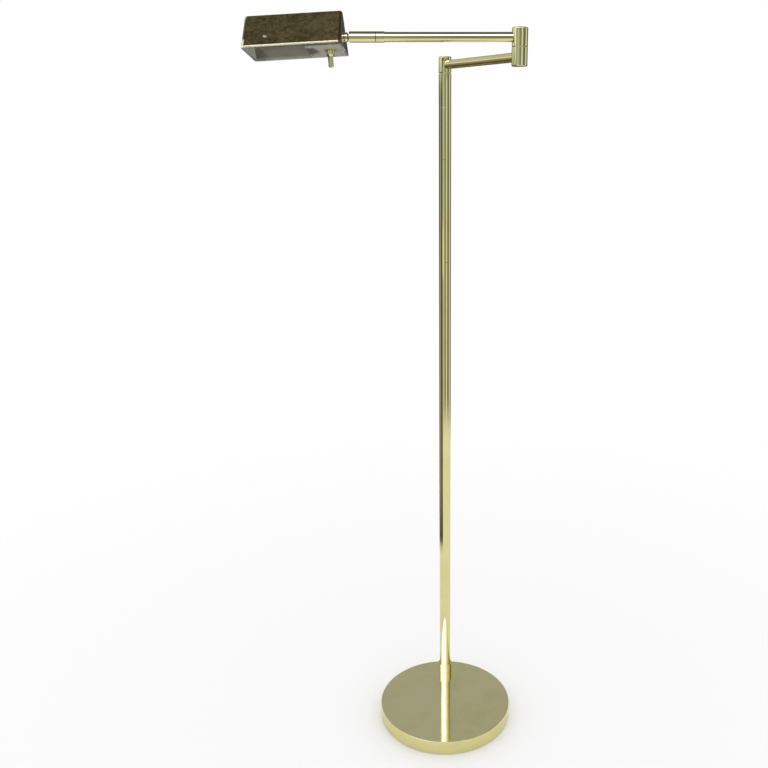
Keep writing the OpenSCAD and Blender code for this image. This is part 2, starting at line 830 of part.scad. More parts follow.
// Turned knob: a tapered collar, a shoulder and a plain stem, read downwards
module dimmer_knob() {
    neck_room = dimmer_neck_len - dimmer_nut_h;
    color(brass) in_head() translate([dimmer_x, 0, knob_top]) mirror([0, 0, 1]) difference() {
        union() {
            cylinder(d1 = knob_d, d2 = knob_waist_d, h = knob_taper_len);
            translate([0, 0, knob_taper_len])
                cylinder(d1 = knob_waist_d, d2 = knob_stem_d, h = knob_collar_len - knob_taper_len);
            turned_bar(knob_stem_d, knob_len, top = knob_tip);
        }
        translate([0, 0, -cut]) cylinder(d = dimmer_neck_d + 2 * free_gap, h = neck_room + cut);
        cylinder(d = shaft_d + 2 * seat_gap, h = knob_collar_len);
    }
}

base_pad();
base_weight();
base_cover();
cord_bushing();
base_washer();
base_nut();
tie_rod();
foot_collar();
pole_tube();
rod_coupling();
swivel_socket();
swivel_washer();
swivel_spindle();
spindle_ring();
spindle_spring();
knuckle();
knuckle_plug();
lower_arm_tube();
elbow_lower();
elbow_plug();
elbow_spindle();
elbow_washer();
elbow_ring();
elbow_spring();
elbow_upper();
elbow_cap();
upper_arm_tube();
arm_collar();
swivel_sleeve();
sleeve_screw();
ball_cup();
cup_spring();
neck_stud();
neck_ring();
neck_nut();
shade();
reflector();
box_wall_plate();
switch_plate();
plate_screws();
lamp_holder();
bulb_cap();
bulb_glass();
dimmer();
dimmer_nut();
dimmer_shaft();
dimmer_knob();
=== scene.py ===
import json
import math

import bmesh
import bpy
from mathutils import Matrix, Vector


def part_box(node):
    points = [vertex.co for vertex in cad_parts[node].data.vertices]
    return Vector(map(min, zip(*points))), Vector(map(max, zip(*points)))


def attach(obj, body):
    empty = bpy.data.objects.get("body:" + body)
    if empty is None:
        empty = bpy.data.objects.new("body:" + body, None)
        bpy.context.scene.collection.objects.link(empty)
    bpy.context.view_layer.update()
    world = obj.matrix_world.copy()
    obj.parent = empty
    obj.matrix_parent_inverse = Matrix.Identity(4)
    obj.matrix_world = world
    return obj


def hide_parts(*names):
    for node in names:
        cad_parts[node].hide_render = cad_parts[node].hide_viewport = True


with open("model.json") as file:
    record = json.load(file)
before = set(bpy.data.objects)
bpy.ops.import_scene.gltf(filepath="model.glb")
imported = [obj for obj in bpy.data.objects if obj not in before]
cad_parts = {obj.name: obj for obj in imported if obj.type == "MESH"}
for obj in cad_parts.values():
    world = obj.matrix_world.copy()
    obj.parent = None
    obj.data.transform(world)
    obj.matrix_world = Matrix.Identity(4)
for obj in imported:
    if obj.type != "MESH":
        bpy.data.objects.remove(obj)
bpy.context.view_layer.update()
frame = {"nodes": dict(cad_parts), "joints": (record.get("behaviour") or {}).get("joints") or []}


# Felt pad. A disc of pressed wool felt is glued under the weight and stands a little below
# the brass cover, so that no metal touches the floor. Its cut edge is soft and uneven.
MM = 0.001


class Socket:
    """An output of a shader node. Sums on sockets add Math nodes to the same tree."""

    def __init__(self, tree, output=None):
        self.tree = tree
        self.output = output

    def node(self, kind, settings=None, sockets=None, output=0):
        """Adds a node: its settings first, then the values or links of its sockets."""
        made = self.tree.nodes.new(kind)
        for name, value in (settings or {}).items():
            setattr(made, name, value)
        for name, value in (sockets or {}).items():
            if isinstance(value, Socket):
                self.tree.links.new(value.output, made.inputs[name])
            else:
                made.inputs[name].default_value = value
        return Socket(self.tree, made.outputs[output] if made.outputs else None)

    def sum(self, operation, first, second):
        return self.node("ShaderNodeMath", {"operation": operation}, {0: first, 1: second})

    def __add__(self, other):
        return self.sum("ADD", self, other)

    def __sub__(self, other):
        return self.sum("SUBTRACT", self, other)

    def __mul__(self, other):
        return self.sum("MULTIPLY", self, other)

    def __rsub__(self, other):
        return self.sum("SUBTRACT", other, self)

    __radd__ = __add__
    __rmul__ = __mul__


def vector_sum(operation, first, second, output="Vector"):
    """A Vector Math node on a vector socket and a second vector."""
    sockets = {0: first, 1: second}
    return first.node("ShaderNodeVectorMath", {"operation": operation}, sockets, output)


def noise(place, grain, detail=3, stretch=(1, 1, 1)):
    """Soft noise whose patches are about as wide as grain, drawn out by stretch."""
    scaled = vector_sum("MULTIPLY", place, tuple(1 / (grain * s) for s in stretch))
    sockets = {"Vector": scaled, "Scale": 1, "Detail": detail}
    return place.node("ShaderNodeTexNoise", {}, sockets, "Fac")


def rise(value, start, end):
    """0 below start, 1 above end and a smooth step between them."""
    sockets = {"Value": value, "From Min": start, "From Max": end}
    return value.node("ShaderNodeMapRange", {"interpolation_type": "SMOOTHSTEP"}, sockets)


def between(factor, first, second):
    """The first colour at 0 and the second at 1."""
    first, second = [c if isinstance(c, Socket) else (*c, 1) for c in (first, second)]
    sockets = {0: factor, 6: first, 7: second}
    return factor.node("ShaderNodeMix", {"data_type": "RGBA"}, sockets, 2)


def bump(height, depth):
    """A normal for a surface whose height goes from 0 to depth."""
    sockets = {"Height": height, "Distance": depth, "Strength": 1}
    return height.node("ShaderNodeBump", {}, sockets, "Normal")


def principled(place, colour, roughness, **constants):
    """A principled surface; a constant's name has _ where the socket's has a space."""
    sockets = {"Base Color": colour, "Roughness": roughness}
    for name, value in constants.items():
        sockets[name.replace("_", " ")] = value
    return place.node("ShaderNodeBsdfPrincipled", {}, sockets)


def material(name, surface):
    """A material whose surface is a function of the object's own coordinates."""
    made = bpy.data.materials.new(name)
    made.use_nodes = True
    made.node_tree.nodes.clear()
    place = Socket(made.node_tree).node("ShaderNodeTexCoord", output="Object")
    place.node("ShaderNodeOutputMaterial", {}, {"Surface": surface(place)})
    return made


def rounded(corners, steps=6):
    """The points of an outline of (radius, height, rounding) corners, with arcs at its corners."""
    points = []
    for index, (x, y, rounding) in enumerate(corners):
        here = Vector((x, y))
        if rounding == 0:
            points.append(here)
            continue
        before = (Vector(corners[index - 1][:2]) - here).normalized()
        after = (Vector(corners[(index + 1) % len(corners)][:2]) - here).normalized()
        half = before.angle(after) / 2
        centre = here + (before + after).normalized() * rounding / math.sin(half)
        start = here + before * rounding / math.tan(half) - centre
        end = here + after * rounding / math.tan(half) - centre
        for step in range(steps + 1):
            points.append(centre + start.slerp(end, step / steps) * rounding)
    return points


def turned(outline, steps):
    """A shape made by turning (radius, height) points round z."""
    shape = bmesh.new()
    rings = []
    angles = [2 * math.pi * step / steps for step in range(steps)]
    for radius, height in outline:
        if radius == 0:
            rings.append([shape.verts.new((0, 0, height))] * steps)
            continue
        points = [(radius * math.cos(a), radius * math.sin(a), height) for a in angles]
        rings.append([shape.verts.new(point) for point in points])
    for low, high in zip(rings, rings[1:]):
        for step in range(steps):
            after = (step + 1) % steps
            face = list(dict.fromkeys((low[step], low[after], high[after], high[step])))
            if len(face) > 2:
                shape.faces.new(face)
    bmesh.ops.recalc_face_normals(shape, faces=shape.faces)
    return shape


def as_mesh(shape):
    """The plain mesh of a shape, which is used up."""
    mesh = bpy.data.meshes.new("blank")
    shape.to_mesh(mesh)
    shape.free()
    return mesh


def shown(name, mesh):
    """A new object in the scene."""
    made = bpy.data.objects.new(name, mesh)
    bpy.context.scene.collection.objects.link(made)
    return made


sharp_angle = math.radians(35)


def piece(name, mesh, place, finish, body, slot, *replaced):
    """Puts a mesh in its place as a smooth piece that rides on a body and stands for CAD nodes."""
    mesh.name = name
    mesh.transform(place)
    mesh.materials.clear()
    mesh.materials.append(finish)
    mesh.shade_smooth()
    mesh.set_sharp_from_angle(angle=sharp_angle)
    made = shown(name, mesh)
    made.modifiers.new("even_shading", "WEIGHTED_NORMAL").keep_sharp = True
    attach(made, body)
    if replaced:
        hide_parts(*replaced)


fibre_w = 0.7 * MM
lint_w = 9 * MM
wool_dark = (0.012, 0.024, 0.016)
wool_pale = (0.060, 0.105, 0.072)
lint_grey = (0.16, 0.18, 0.16)


def felt_surface(place):
    """Dark green wool: matted fibres, paler where they stand up, with lint here and there."""
    across, along = noise(place, fibre_w, 6, (3, 1, 1)), noise(place, fibre_w, 6, (1, 3, 1))
    fibres = across * 0.5 + along * 0.5
    lint = rise(noise(place, lint_w, 2), 0.58, 0.72)
    colour = between(lint * 0.4, between(fibres, wool_dark, wool_pale), lint_grey)
    return principled(place, colour, 0.95, Normal=bump(fibres, 0.5 * MM), Sheen_Weight=0.35)


pad_low, pad_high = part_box("base_pad")
pad_r = (pad_high.y - pad_low.y) / 2
pad_h = pad_high.z
pad_edge = 0.5 * MM
pad_outline = rounded([(0, 0, 0), (pad_r, 0, pad_edge), (pad_r, pad_h, pad_edge), (0, pad_h, 0)])
pad_mesh = as_mesh(turned(pad_outline, steps=192))
piece("felt_pad", pad_mesh, Matrix(), material("felt", felt_surface), "stand", "felt", "base_pad")


# Weight. A rough iron casting fills the base, with a pocket for the tie rod's nut and a
# channel for the cord. Only the felt covers it underneath, and the brass cover hides the rest.
iron_dark = (0.03, 0.03, 0.032)
iron_pale = (0.09, 0.09, 0.092)
rust_brown = (0.12, 0.05, 0.022)


def dress(finish, *names):
    """Gives CAD nodes their finish."""
    for name in names:
        mesh = frame["nodes"][name].data
        mesh.materials.clear()
        mesh.materials.append(finish)


def cast_iron_surface(place):
    """Grey iron with the grain of its sand mould and a bloom of rust."""
    grain = noise(place, 1.2 * MM, 5)
    rust = rise(noise(place, 18 * MM, 5), 0.5, 0.7)
    colour = between(rust * 0.6, between(grain, iron_dark, iron_pale), rust_brown)
    roughness = 0.55 + grain * 0.35
    return principled(place, colour, roughness, Metallic=0.7, Normal=bump(grain, 0.4 * MM))


dress(material("cast_iron", cast_iron_surface), "base_weight")


# Brass. The cover, the pole, the arms and every turned fitting are brass, polished bright and
# lacquered. Handling has left soft clouds of tarnish, hairline scratches and a few brown specks.
brass_pale = (0.735, 0.68, 0.335)
brass_deep = (0.60, 0.52, 0.21)
brass_brown = (0.16, 0.10, 0.035)
cloud_w = 45 * MM
hairline_w = 0.5 * MM
speck_pitch = 16 * MM
mirror_dullness = 0.035
spun_dullness = 0.055
seam_dirt_and_shade = 0.8


def parts(place):
    """The x, y and z of a vector."""
    split = place.node("ShaderNodeSeparateXYZ", {}, {0: place}).output.node
    return [Socket(place.tree, split.outputs[axis]) for axis in "XYZ"]


def absolute(value):
    return value.node("ShaderNodeMath", {"operation": "ABSOLUTE"}, {0: value})


def reach(place, start, direction):
    """How far a point lies from a start, along a direction."""
    return vector_sum("DOT_PRODUCT", vector_sum("SUBTRACT", place, start), direction, "Value")


def polished_brass_surface(place, rub, dullness, dirt_and_shade=0):
    """Polished brass whose rubbing marks run along the z of the coordinates in rub."""
    clouds = rise(noise(place, cloud_w, 5), 0.42, 0.74)
    smears = noise(rub, 5 * MM, 4, (1, 1, 6))
    hairlines = rise(noise(rub, hairline_w, 2, (1, 1, 40)), 0.60, 0.78)
    cell = {"Vector": place, "Scale": 1 / speck_pitch, "Randomness": 1.0}
    speck = 1 - rise(place.node("ShaderNodeTexVoronoi", {}, cell, "Distance"), 0.03, 0.075)
    speck = speck * rise(noise(place, 60 * MM, 2), 0.52, 0.60)
    clean = between(clouds * 0.3 + smears * 0.12, brass_pale, brass_deep)
    colour = between(speck * 0.75 + dirt_and_shade, clean, brass_brown)
    roughness = dullness + clouds * 0.03 + smears * 0.02 + hairlines * 0.04 + speck * 0.2
    waves = noise(place, 30 * MM, 2) + noise(place, 7 * MM, 2) * 0.12
    return principled(place, colour, roughness, Metallic=1.0, Normal=bump(waves, 0.05 * MM))


def upright_brass_surface(place):
    """Pole and barrels, rubbed up and down."""
    return polished_brass_surface(place, place, mirror_dullness)


def spun_brass_surface(place):
    """The base's cover, rubbed round its own axis on the spinning lathe."""
    x, y, z = parts(place)
    level = place.node("ShaderNodeCombineXYZ", {}, {"X": x, "Y": y})
    out = vector_sum("DISTANCE", level, (0, 0, 0), "Value")
    round_run = place.sum("ARCTAN2", x, y * -1) * base_r
    rub = place.node("ShaderNodeCombineXYZ", {}, {"X": out, "Y": z, "Z": round_run})
    return polished_brass_surface(place, rub, spun_dullness)


def brass_along(run, seam):
    """Brass for a level tube, rubbed along its run, darkened in a seam at that point of it by dirt
    and painted shade.
    """
    def surface(place):
        turn = {"Vector": place, "Rotation": (0, math.pi / 2, -math.atan2(run.y, run.x))}
        rub = place.node("ShaderNodeMapping", {}, turn)
        # The seam is darkened with dirt and with painted shade for its gap.
        dirt_and_shade = 1 - rise(absolute(reach(place, seam, run)), 0.3 * MM, 0.8 * MM)
        return polished_brass_surface(place, rub, mirror_dullness, dirt_and_shade * seam_dirt_and_shade)
    return surface


joints = {joint["name"]: joint for joint in frame["joints"]}
pole_axis = Vector(joints["pole_swivel"]["pos_m"])
elbow_axis = Vector(joints["elbow_swivel"]["pos_m"])
ball = Vector(joints["shade_nod"]["pos_m"])
lower_run = (elbow_axis - pole_axis).normalized()
upper_run = (ball - elbow_axis).normalized()
sleeve_points = [vertex.co.copy() for vertex in frame["nodes"]["swivel_sleeve"].data.vertices]
sleeve_seam = min(sleeve_points, key=upper_run.dot)
base_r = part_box("base_cover")[1].x
upright_brass = material("polished_brass", upright_brass_surface)
dress(material("spun_brass", spun_brass_surface), "base_cover")
dress(upright_brass, "foot_collar", "pole_tube", "swivel_socket", "knuckle", "knuckle_plug")
dress(upright_brass, "elbow_lower", "elbow_plug", "elbow_upper", "elbow_cap", "dimmer_knob")
dress(material("lower_arm_brass", brass_along(lower_run, elbow_axis)), "lower_arm_tube")
upper_brass = material("upper_arm_brass", brass_along(upper_run, sleeve_seam))
dress(upper_brass, "upper_arm_tube", "arm_collar", "swivel_sleeve", "neck_ring")


# Cord bushing. A moulded black bushing snaps into the rear of the cover, where the mains cord
# goes in. The dimmer's housing is moulded of the same plastic.
plastic_black = (0.016, 0.016, 0.017)
plastic_dusty = (0.075, 0.072, 0.066)


def black_plastic_surface(place):
    grain = noise(place, 0.35 * MM, 3)
    dust = rise(noise(place, 6 * MM, 4), 0.5, 0.8)
    colour = between(dust * 0.35, plastic_black, plastic_dusty)
    roughness = 0.38 + grain * 0.2 + dust * 0.15
    return principled(place, colour, roughness, Normal=bump(grain, 0.03 * MM))


dress(material("black_plastic", black_plastic_surface), "cord_bushing", "dimmer")


# Steel. The tie rod with its nut and washer, the spindles with their rings and springs, and the
# screws and nuts are zinc-plated steel, a little dull and stained along their turning marks.
zinc_bright = (0.62, 0.62, 0.63)
zinc_stained = (0.40, 0.38, 0.34)


def plated_steel_surface(place):
    stain = rise(noise(place, 8 * MM, 4), 0.45, 0.75)
    turning = noise(place, 0.25 * MM, 2, (30, 30, 1))
    colour = between(stain * 0.5, zinc_bright, zinc_stained)
    roughness = 0.24 + stain * 0.14 + turning * 0.1
    return principled(place, colour, roughness, Metallic=1.0, Normal=bump(turning, 0.01 * MM))


steel = material("plated_steel", plated_steel_surface)
dress(steel, "base_washer", "base_nut", "tie_rod")
dress(steel, "swivel_spindle", "spindle_ring", "spindle_spring")
dress(steel, "elbow_spindle", "elbow_ring", "elbow_spring", "sleeve_screw", "cup_spring")
dress(steel, "neck_nut", "bulb_cap", "dimmer_shaft")


# Bushes and washers. The rod's coupling, both thrust washers, the neck's stud and the dimmer's
# round nut are brass left as it came off the lathe, with fine rings and a brown tint.
lathe_brass = (0.70, 0.58, 0.27)
lathe_brown = (0.48, 0.36, 0.14)


def turned_brass_surface(place):
    rings = noise(place, 0.3 * MM, 2, (20, 20, 1))
    colour = between(noise(place, 10 * MM, 4), lathe_brass, lathe_brown)
    roughness = 0.2 + rings * 0.18
    return principled(place, colour, roughness, Metallic=1.0, Normal=bump(rings, 0.02 * MM))


turned_brass = material("turned_brass", turned_brass_surface)
dress(turned_brass, "rod_coupling", "swivel_washer", "elbow_washer", "neck_stud", "dimmer_nut")


# Ball cup. A nylon cup behind the neck's ball gives the swivel its drag. It yellows with age and
# shows the flow of its moulding.
nylon_pale = (0.74, 0.70, 0.60)
nylon_yellow = (0.62, 0.56, 0.42)


def nylon_surface(place):
    flow = noise(place, 4 * MM, 4)
    colour = between(flow, nylon_pale, nylon_yellow)
    return principled(place, colour, 0.42 + flow * 0.15, Normal=bump(flow, 0.05 * MM))


dress(material("nylon", nylon_surface), "ball_cup")


# Shade. Brass sheet of 1 mm is folded into a long tent with rounded edges, closed by a plate at
# each end, and its long lower edges are rolled into beads. Its faces are mottled with tarnish,
# its beads are rubbed pale and its inside is painted grey. Painted shade darkens its ends, a
# painted highlight lies on its far corner, and a painted shadow lies inside the front bead.
head_z = -Vector(joints["dimmer_turn"]["axis"])
head_y = Vector(joints["shade_nod"]["axis"])
head_x = head_y.cross(head_z)
head = Matrix.Translation(ball) @ Matrix((head_x, head_y, head_z)).transposed().to_4x4()

neck_reach = 8.9 * MM
shade_len = 130 * MM
shade_w = 91 * MM
shade_h = 49 * MM
neck_rise = 15 * MM
shade_wall = 1 * MM
shade_edge = 4 * MM
bead_d = 3 * MM
bead_cap = bead_d / 2 - 0.01 * MM
fold_steps = 8
face_steps = 12
ridge_steps = 16
weld = 1e-7
shade_end = neck_reach + shade_len
open_z = -neck_rise
ridge_z = shade_h - neck_rise - shade_edge
ridge_rise = ridge_z - open_z
face_reach = math.hypot(shade_w / 2, ridge_rise)
face_angle = math.acos(shade_edge / face_reach) - math.atan2(ridge_rise, shade_w / 2)
bead_y = (shade_w - bead_d * math.tan(face_angle) - shade_wall / math.cos(face_angle)) / 2


def tent_skin(shape, inset, start, end, low, start_closed):
    """Rows of points over a tent whose faces lie inset inside the shade's, from lip to lip."""
    radius = shade_edge - inset
    quarter = [math.pi / 2 * step / fold_steps for step in range(fold_steps + 1)]
    columns = [(end - shade_edge, turn) for turn in quarter]
    if start_closed:
        columns = [(start + shade_edge, -turn) for turn in reversed(quarter)] + columns
    else:
        columns = [(start, 0)] + columns
    arc = math.pi / 2 - face_angle
    rows = [(1 - step / face_steps, -arc) for step in range(face_steps)]
    rows += [(0, -arc + 2 * arc * step / ridge_steps) for step in range(ridge_steps + 1)]
    rows += [(step / face_steps, arc) for step in range(1, face_steps + 1)]
    grid = []
    for drop, lean in rows:
        row = []
        for x, turn in columns:
            out = radius * math.cos(turn)
            fall = drop * (ridge_z - low + out * math.sin(face_angle))
            side = math.copysign(fall * math.tan(face_angle), -lean)
            place = (
                x + radius * math.sin(turn),
                side + out * math.sin(-lean),
                ridge_z - fall + out * math.cos(lean),
            )
            row.append(shape.verts.new(place))
        grid.append(row)
    return grid


def tent_shell(outer_inset, wall, start, end, low, start_closed):
    """A tent of sheet, open below and closed at its far end, and at its start if asked. The
    attribute inside is 1 on its inner skin and 0 on its outer one."""
    shape = bmesh.new()
    inside = shape.verts.layers.float.new("inside")
    outer = tent_skin(shape, outer_inset, start, end, low, start_closed)
    inner = tent_skin(shape, outer_inset + wall, start, end, low, start_closed)
    for row in inner:
        for point in row:
            point[inside] = 1
    for grid in (outer, inner):
        for row, above in zip(grid, grid[1:]):
            for corners in zip(row, row[1:], above[1:], above):
                shape.faces.new(corners)
        shape.faces.new([row[-1] for row in grid])
        if start_closed:
            shape.faces.new([row[0] for row in grid])
    for lip, inner_lip in ((outer[0], inner[0]), (outer[-1], inner[-1])):
        for corners in zip(lip, lip[1:], inner_lip[1:], inner_lip):
            shape.faces.new(corners)
    shape.faces.new((outer[0][-1], inner[0][-1], inner[-1][-1], outer[-1][-1]))
    if start_closed:
        shape.faces.new((outer[0][0], inner[0][0], inner[-1][0], outer[-1][0]))
    else:
        for row, inner_row, above, inner_above in zip(outer, inner, outer[1:], inner[1:]):
            shape.faces.new((row[0], inner_row[0], inner_above[0], above[0]))
    bmesh.ops.remove_doubles(shape, verts=shape.verts, dist=weld)
    bmesh.ops.recalc_face_normals(shape, faces=shape.faces)
    return shape


def take_in(shape, other):
    """Adds a second shape to a first one, and uses up the second."""
    mesh = as_mesh(other)
    shape.from_mesh(mesh)
    bpy.data.meshes.remove(mesh)


dent_x = 109 * MM
dent_fall = 33 * MM
dent_r = 3.2 * MM
dent_out = dent_fall * math.tan(face_angle) + shade_edge * math.cos(face_angle)
dent_up = ridge_z - dent_fall + shade_edge * math.sin(face_angle)
dent_place = head @ Vector((dent_x, dent_out, dent_up))
bead_top = head @ Vector((0, 0, open_z + bead_d))
half_len = shade_len / 2
shade_middle = head @ Vector((neck_reach + half_len, 0, 0))
fold_start = (half_len - shade_edge * 1.15, half_len - shade_edge * 0.85)
fold_end = (half_len - 0.5 * MM, half_len - 0.1 * MM)
highlight_foot = (-11 * MM, -7 * MM)
highlight_ridge = (-44 * MM, -38 * MM)
# A dark patch lies low in the far rear corner inside, on the paint and on the liner.
far_patch_middle = (133 * MM, -40 * MM, -12 * MM)
far_patch_size = 16 * MM
patch_stretch = 0.45

tarnish_pale = (0.69, 0.65, 0.21)
tarnish_deep = (0.31, 0.275, 0.075)
freckle_brown = (0.17, 0.135, 0.045)
# end_shade_brown is painted shade for the ends, corner_highlight_pale a painted highlight and
# bead_shadow_brown a painted shadow.
end_shade_brown = (0.14, 0.12, 0.055)
bead_pale = (0.86, 0.79, 0.42)
corner_highlight_pale = (0.92, 0.88, 0.60)
inner_grey = (0.335, 0.33, 0.285)
grime_grey = (0.22, 0.21, 0.18)
bead_shadow_brown = (0.075, 0.06, 0.038)
patch_dark = (0.085, 0.078, 0.066)


def dark_patch_at(place, middle, size):
    """A soft ragged patch round a point of the head, 1 at its middle and longer across the head."""
    spot = head @ Vector(middle)
    across = reach(place, spot, head_y) * patch_stretch
    sockets = {0: head_y, "Scale": across}
    excess = place.node("ShaderNodeVectorMath", {"operation": "SCALE"}, sockets)
    away = vector_sum("DISTANCE", vector_sum("SUBTRACT", place, excess), spot, "Value")
    ragged = away + (noise(place, size * 0.5, 5) - 0.5) * size * 1.1
    return 1 - rise(ragged, size * 0.45, size)


def shade_brass_surface(place):
    """Mottled brass with worn beads, a dent and paint inside, painted shade at the ends and a
    painted highlight on the far corner.
    """
    mottle = noise(place, 7 * MM, 8)
    bloom = rise(mottle * 0.6 + noise(place, cloud_w, 2) * 0.4, 0.38, 0.64)
    freckle = rise(noise(place, 2 * MM, 4), 0.46, 0.66)
    hairlines = rise(noise(place, 0.4 * MM, 2, (40, 1, 1)), 0.60, 0.78)
    below = reach(place, bead_top, -head_z)
    along = reach(place, shade_middle, head_x)
    across = reach(place, shade_middle, head_y)
    # shaded_ends darkens the rounded ends of the shade: painted shade in place of the dark that
    # they reflect.
    shaded_ends = rise(absolute(along), *fold_start)
    worn = rise(below, 0, 0.3 * MM)
    bead = worn * (1 - shaded_ends)
    # corner_highlight is a painted highlight on the far end's rounded corner, near the foot and
    # near the ridge, pale and only partly metal.
    corner_highlight = rise(along, *fold_start) * (1 - rise(along, *fold_end))
    corner_highlight = corner_highlight * (rise(below, *highlight_foot) + (1 - rise(below, *highlight_ridge)) * 0.5)
    from_dent = vector_sum("DISTANCE", place, dent_place, "Value")
    dent = 1 - rise(from_dent + (noise(place, 1.3 * MM) - 0.5) * dent_r * 1.2, 0, dent_r)
    metal = between(freckle * 0.6, between(bloom, tarnish_pale, tarnish_deep), freckle_brown)
    metal = between(shaded_ends * 0.85, between(dent, metal, brass_pale), end_shade_brown)
    metal = between(corner_highlight, between(bead, metal, bead_pale), corner_highlight_pale)
    polish = 0.05 + bloom * 0.05 + hairlines * 0.04 + worn * 0.47
    grime = rise(noise(place, 9 * MM, 5), 0.42, 0.76)
    painted = between(grime * 0.4, inner_grey, grime_grey)
    # The inner side of the front bead is darkened with a painted shadow.
    painted = between(bead * rise(across, 0, 10 * MM), painted, bead_shadow_brown)
    painted = between(dark_patch_at(place, far_patch_middle, far_patch_size) * 0.5, painted, patch_dark)
    inside = place.node("ShaderNodeAttribute", {"attribute_name": "inside"}, output="Fac")
    paint = rise(inside, 0.4, 0.6)
    relief = noise(place, 35 * MM, 2) + mottle * 0.08 - dent * 6
    return principled(
        place,
        between(paint, metal, painted),
        polish * (1 - paint) + (0.5 + grime * 0.2) * paint,
        Metallic=(1 - paint) * (1 - corner_highlight * 0.6),
        Normal=bump(relief, 0.12 * MM),
    )


along_shade = Matrix.Rotation(math.pi / 2, 4, "Y")
bead_run = shade_len - 2 * shade_edge + bead_d
bead_outline = rounded([
    (0, 0, 0),
    (bead_d / 2, 0, bead_cap),
    (bead_d / 2, bead_run, bead_cap),
    (0, bead_run, 0),
])
shade_shape = tent_shell(0, shade_wall, neck_reach, shade_end, open_z, True)
for side in (-1, 1):
    bead = turned(bead_outline, steps=32)
    bead_start = (neck_reach + shade_edge - bead_d / 2, side * bead_y, open_z + bead_d / 2)
    bead_place = Matrix.Translation(bead_start) @ along_shade
    bmesh.ops.transform(bead, matrix=bead_place, verts=bead.verts)
    inside = bead.verts.layers.float.new("inside")
    for point in bead.verts:
        point[inside] = side * point.co.y < bead_y - bead_d / 6
    take_in(shade_shape, bead)
shade_brass = material("shade_brass", shade_brass_surface)
piece("tent_shade", as_mesh(shade_shape), head, shade_brass, "head", "shade_brass", "shade")


# Reflector. A liner of thin satin aluminium follows the shade's inside round the bulb. It is
# brushed along its length, painted shade darkens it towards the top of the hollow, and its end is
# painted grey.
box_len = 48 * MM
box_wall = 1 * MM
free_gap = 0.3 * MM
liner_wall = 0.5 * MM
liner_lift = 3 * MM
box_x = neck_reach + shade_wall + box_len
liner_inset = shade_wall + free_gap / 2
liner_start = box_x + box_wall + free_gap
liner_low = open_z + liner_lift
end_wall_from = shade_end - 3.6 * MM
end_wall_full = shade_end - 2 * MM

aluminium_clean = (0.24, 0.233, 0.18)
aluminium_dull = (0.17, 0.16, 0.13)
hollow_shade_brown = (0.07, 0.055, 0.03)
end_pale = (0.48, 0.47, 0.42)
end_dusty = (0.40, 0.39, 0.34)


def reflector_surface(place):
    brushed = noise(place, 0.35 * MM, 3, (60, 1, 1))
    dull = rise(noise(place, 20 * MM, 4), 0.40, 0.76)
    dark_patch = dark_patch_at(place, far_patch_middle, far_patch_size)
    # hollow_shade is painted shade that darkens the liner towards the top of the hollow.
    hollow_shade = rise(reach(place, ball, head_z), -6 * MM, 9 * MM)
    end_wall = rise(reach(place, ball, head_x), end_wall_from, end_wall_full)
    metal = between(dull * 0.35, aluminium_clean, aluminium_dull)
    metal = between(hollow_shade * 0.5, between(dark_patch * 0.5, metal, patch_dark), hollow_shade_brown)
    colour = between(end_wall, metal, between(dull, end_pale, end_dusty))
    roughness = 0.42 + brushed * 0.16 + dull * 0.15
    relief = bump(brushed, 0.015 * MM)
    return principled(place, colour, roughness, Metallic=1 - end_wall, Normal=relief)


liner = as_mesh(tent_shell(liner_inset, liner_wall, liner_start, shade_end, liner_low, False))
aluminium = material("reflector_aluminium", reflector_surface)
piece("reflector_liner", liner, head, aluminium, "head", "reflector_aluminium", "reflector")


# Wiring box. A plate with a satin grey enamel closes the neck end of the shade from below, and an
# upright wall parts the wiring from the lamp. The enamel has orange peel, worn
# spots and a dark patch, and a painted shadow lies along the front bead.
enamel_grey = (0.345, 0.335, 0.292)
chip_brown = (0.20, 0.17, 0.13)
# A second dark patch lies on the plate.
plate_patch_middle = (56 * MM, -3 * MM, open_z)
plate_patch_size = 15 * MM
# bead_shadow_from and bead_shadow_full bound the painted shadow behind the front bead.
bead_shadow_from = bead_y - 16 * MM
bead_shadow_full = bead_y - 8 * MM


def grey_enamel_surface(place):
    peel = noise(place, 0.9 * MM, 2)
    grime = rise(noise(place, 12 * MM, 5), 0.50, 0.72)
    chips = rise(noise(place, 2.5 * MM, 3), 0.72, 0.76)
    # bead_shadow is a painted shadow along the plate's front edge, behind the front bead.
    bead_shadow = rise(reach(place, ball, head_y), bead_shadow_from, bead_shadow_full)
    colour = between(grime * 0.35, enamel_grey, grime_grey)
    colour = between(dark_patch_at(place, plate_patch_middle, plate_patch_size), colour, patch_dark)
    colour = between(chips * 0.7, between(bead_shadow * 0.9, colour, bead_shadow_brown), chip_brown)
    roughness = 0.36 + grime * 0.2 + chips * 0.2
    return principled(place, colour, roughness, Normal=bump(peel, 0.03 * MM))


dress(material("grey_enamel", grey_enamel_surface), "box_wall_plate", "switch_plate")


# Plate screws. Two pan-head screws with crossed slots hold the plate to the foot of the wall.
# One screw is modelled, and a row of two is set out along the plate's width.
screw_count = 2
screw_pitch = 45 * MM
screw_d = 3 * MM
screw_head_d = 5.6 * MM
screw_head_h = 1.4 * MM
screw_head_edge = 0.7 * MM
screw_tip_edge = 0.3 * MM
screw_over = 1.5 * MM
screw_foot = 8 * MM
slot_w = 0.9 * MM
slot_depth = 0.7 * MM
slot_reach = screw_head_d / 3
screw_top = 2 * box_wall + screw_over
screw_corners = [
    (0, -screw_head_h, 0),
    (screw_head_d / 2, -screw_head_h, screw_head_edge),
    (screw_head_d / 2, 0, 0),
    (screw_d / 2, 0, 0),
    (screw_d / 2, screw_top, screw_tip_edge),
    (0, screw_top, 0),
]


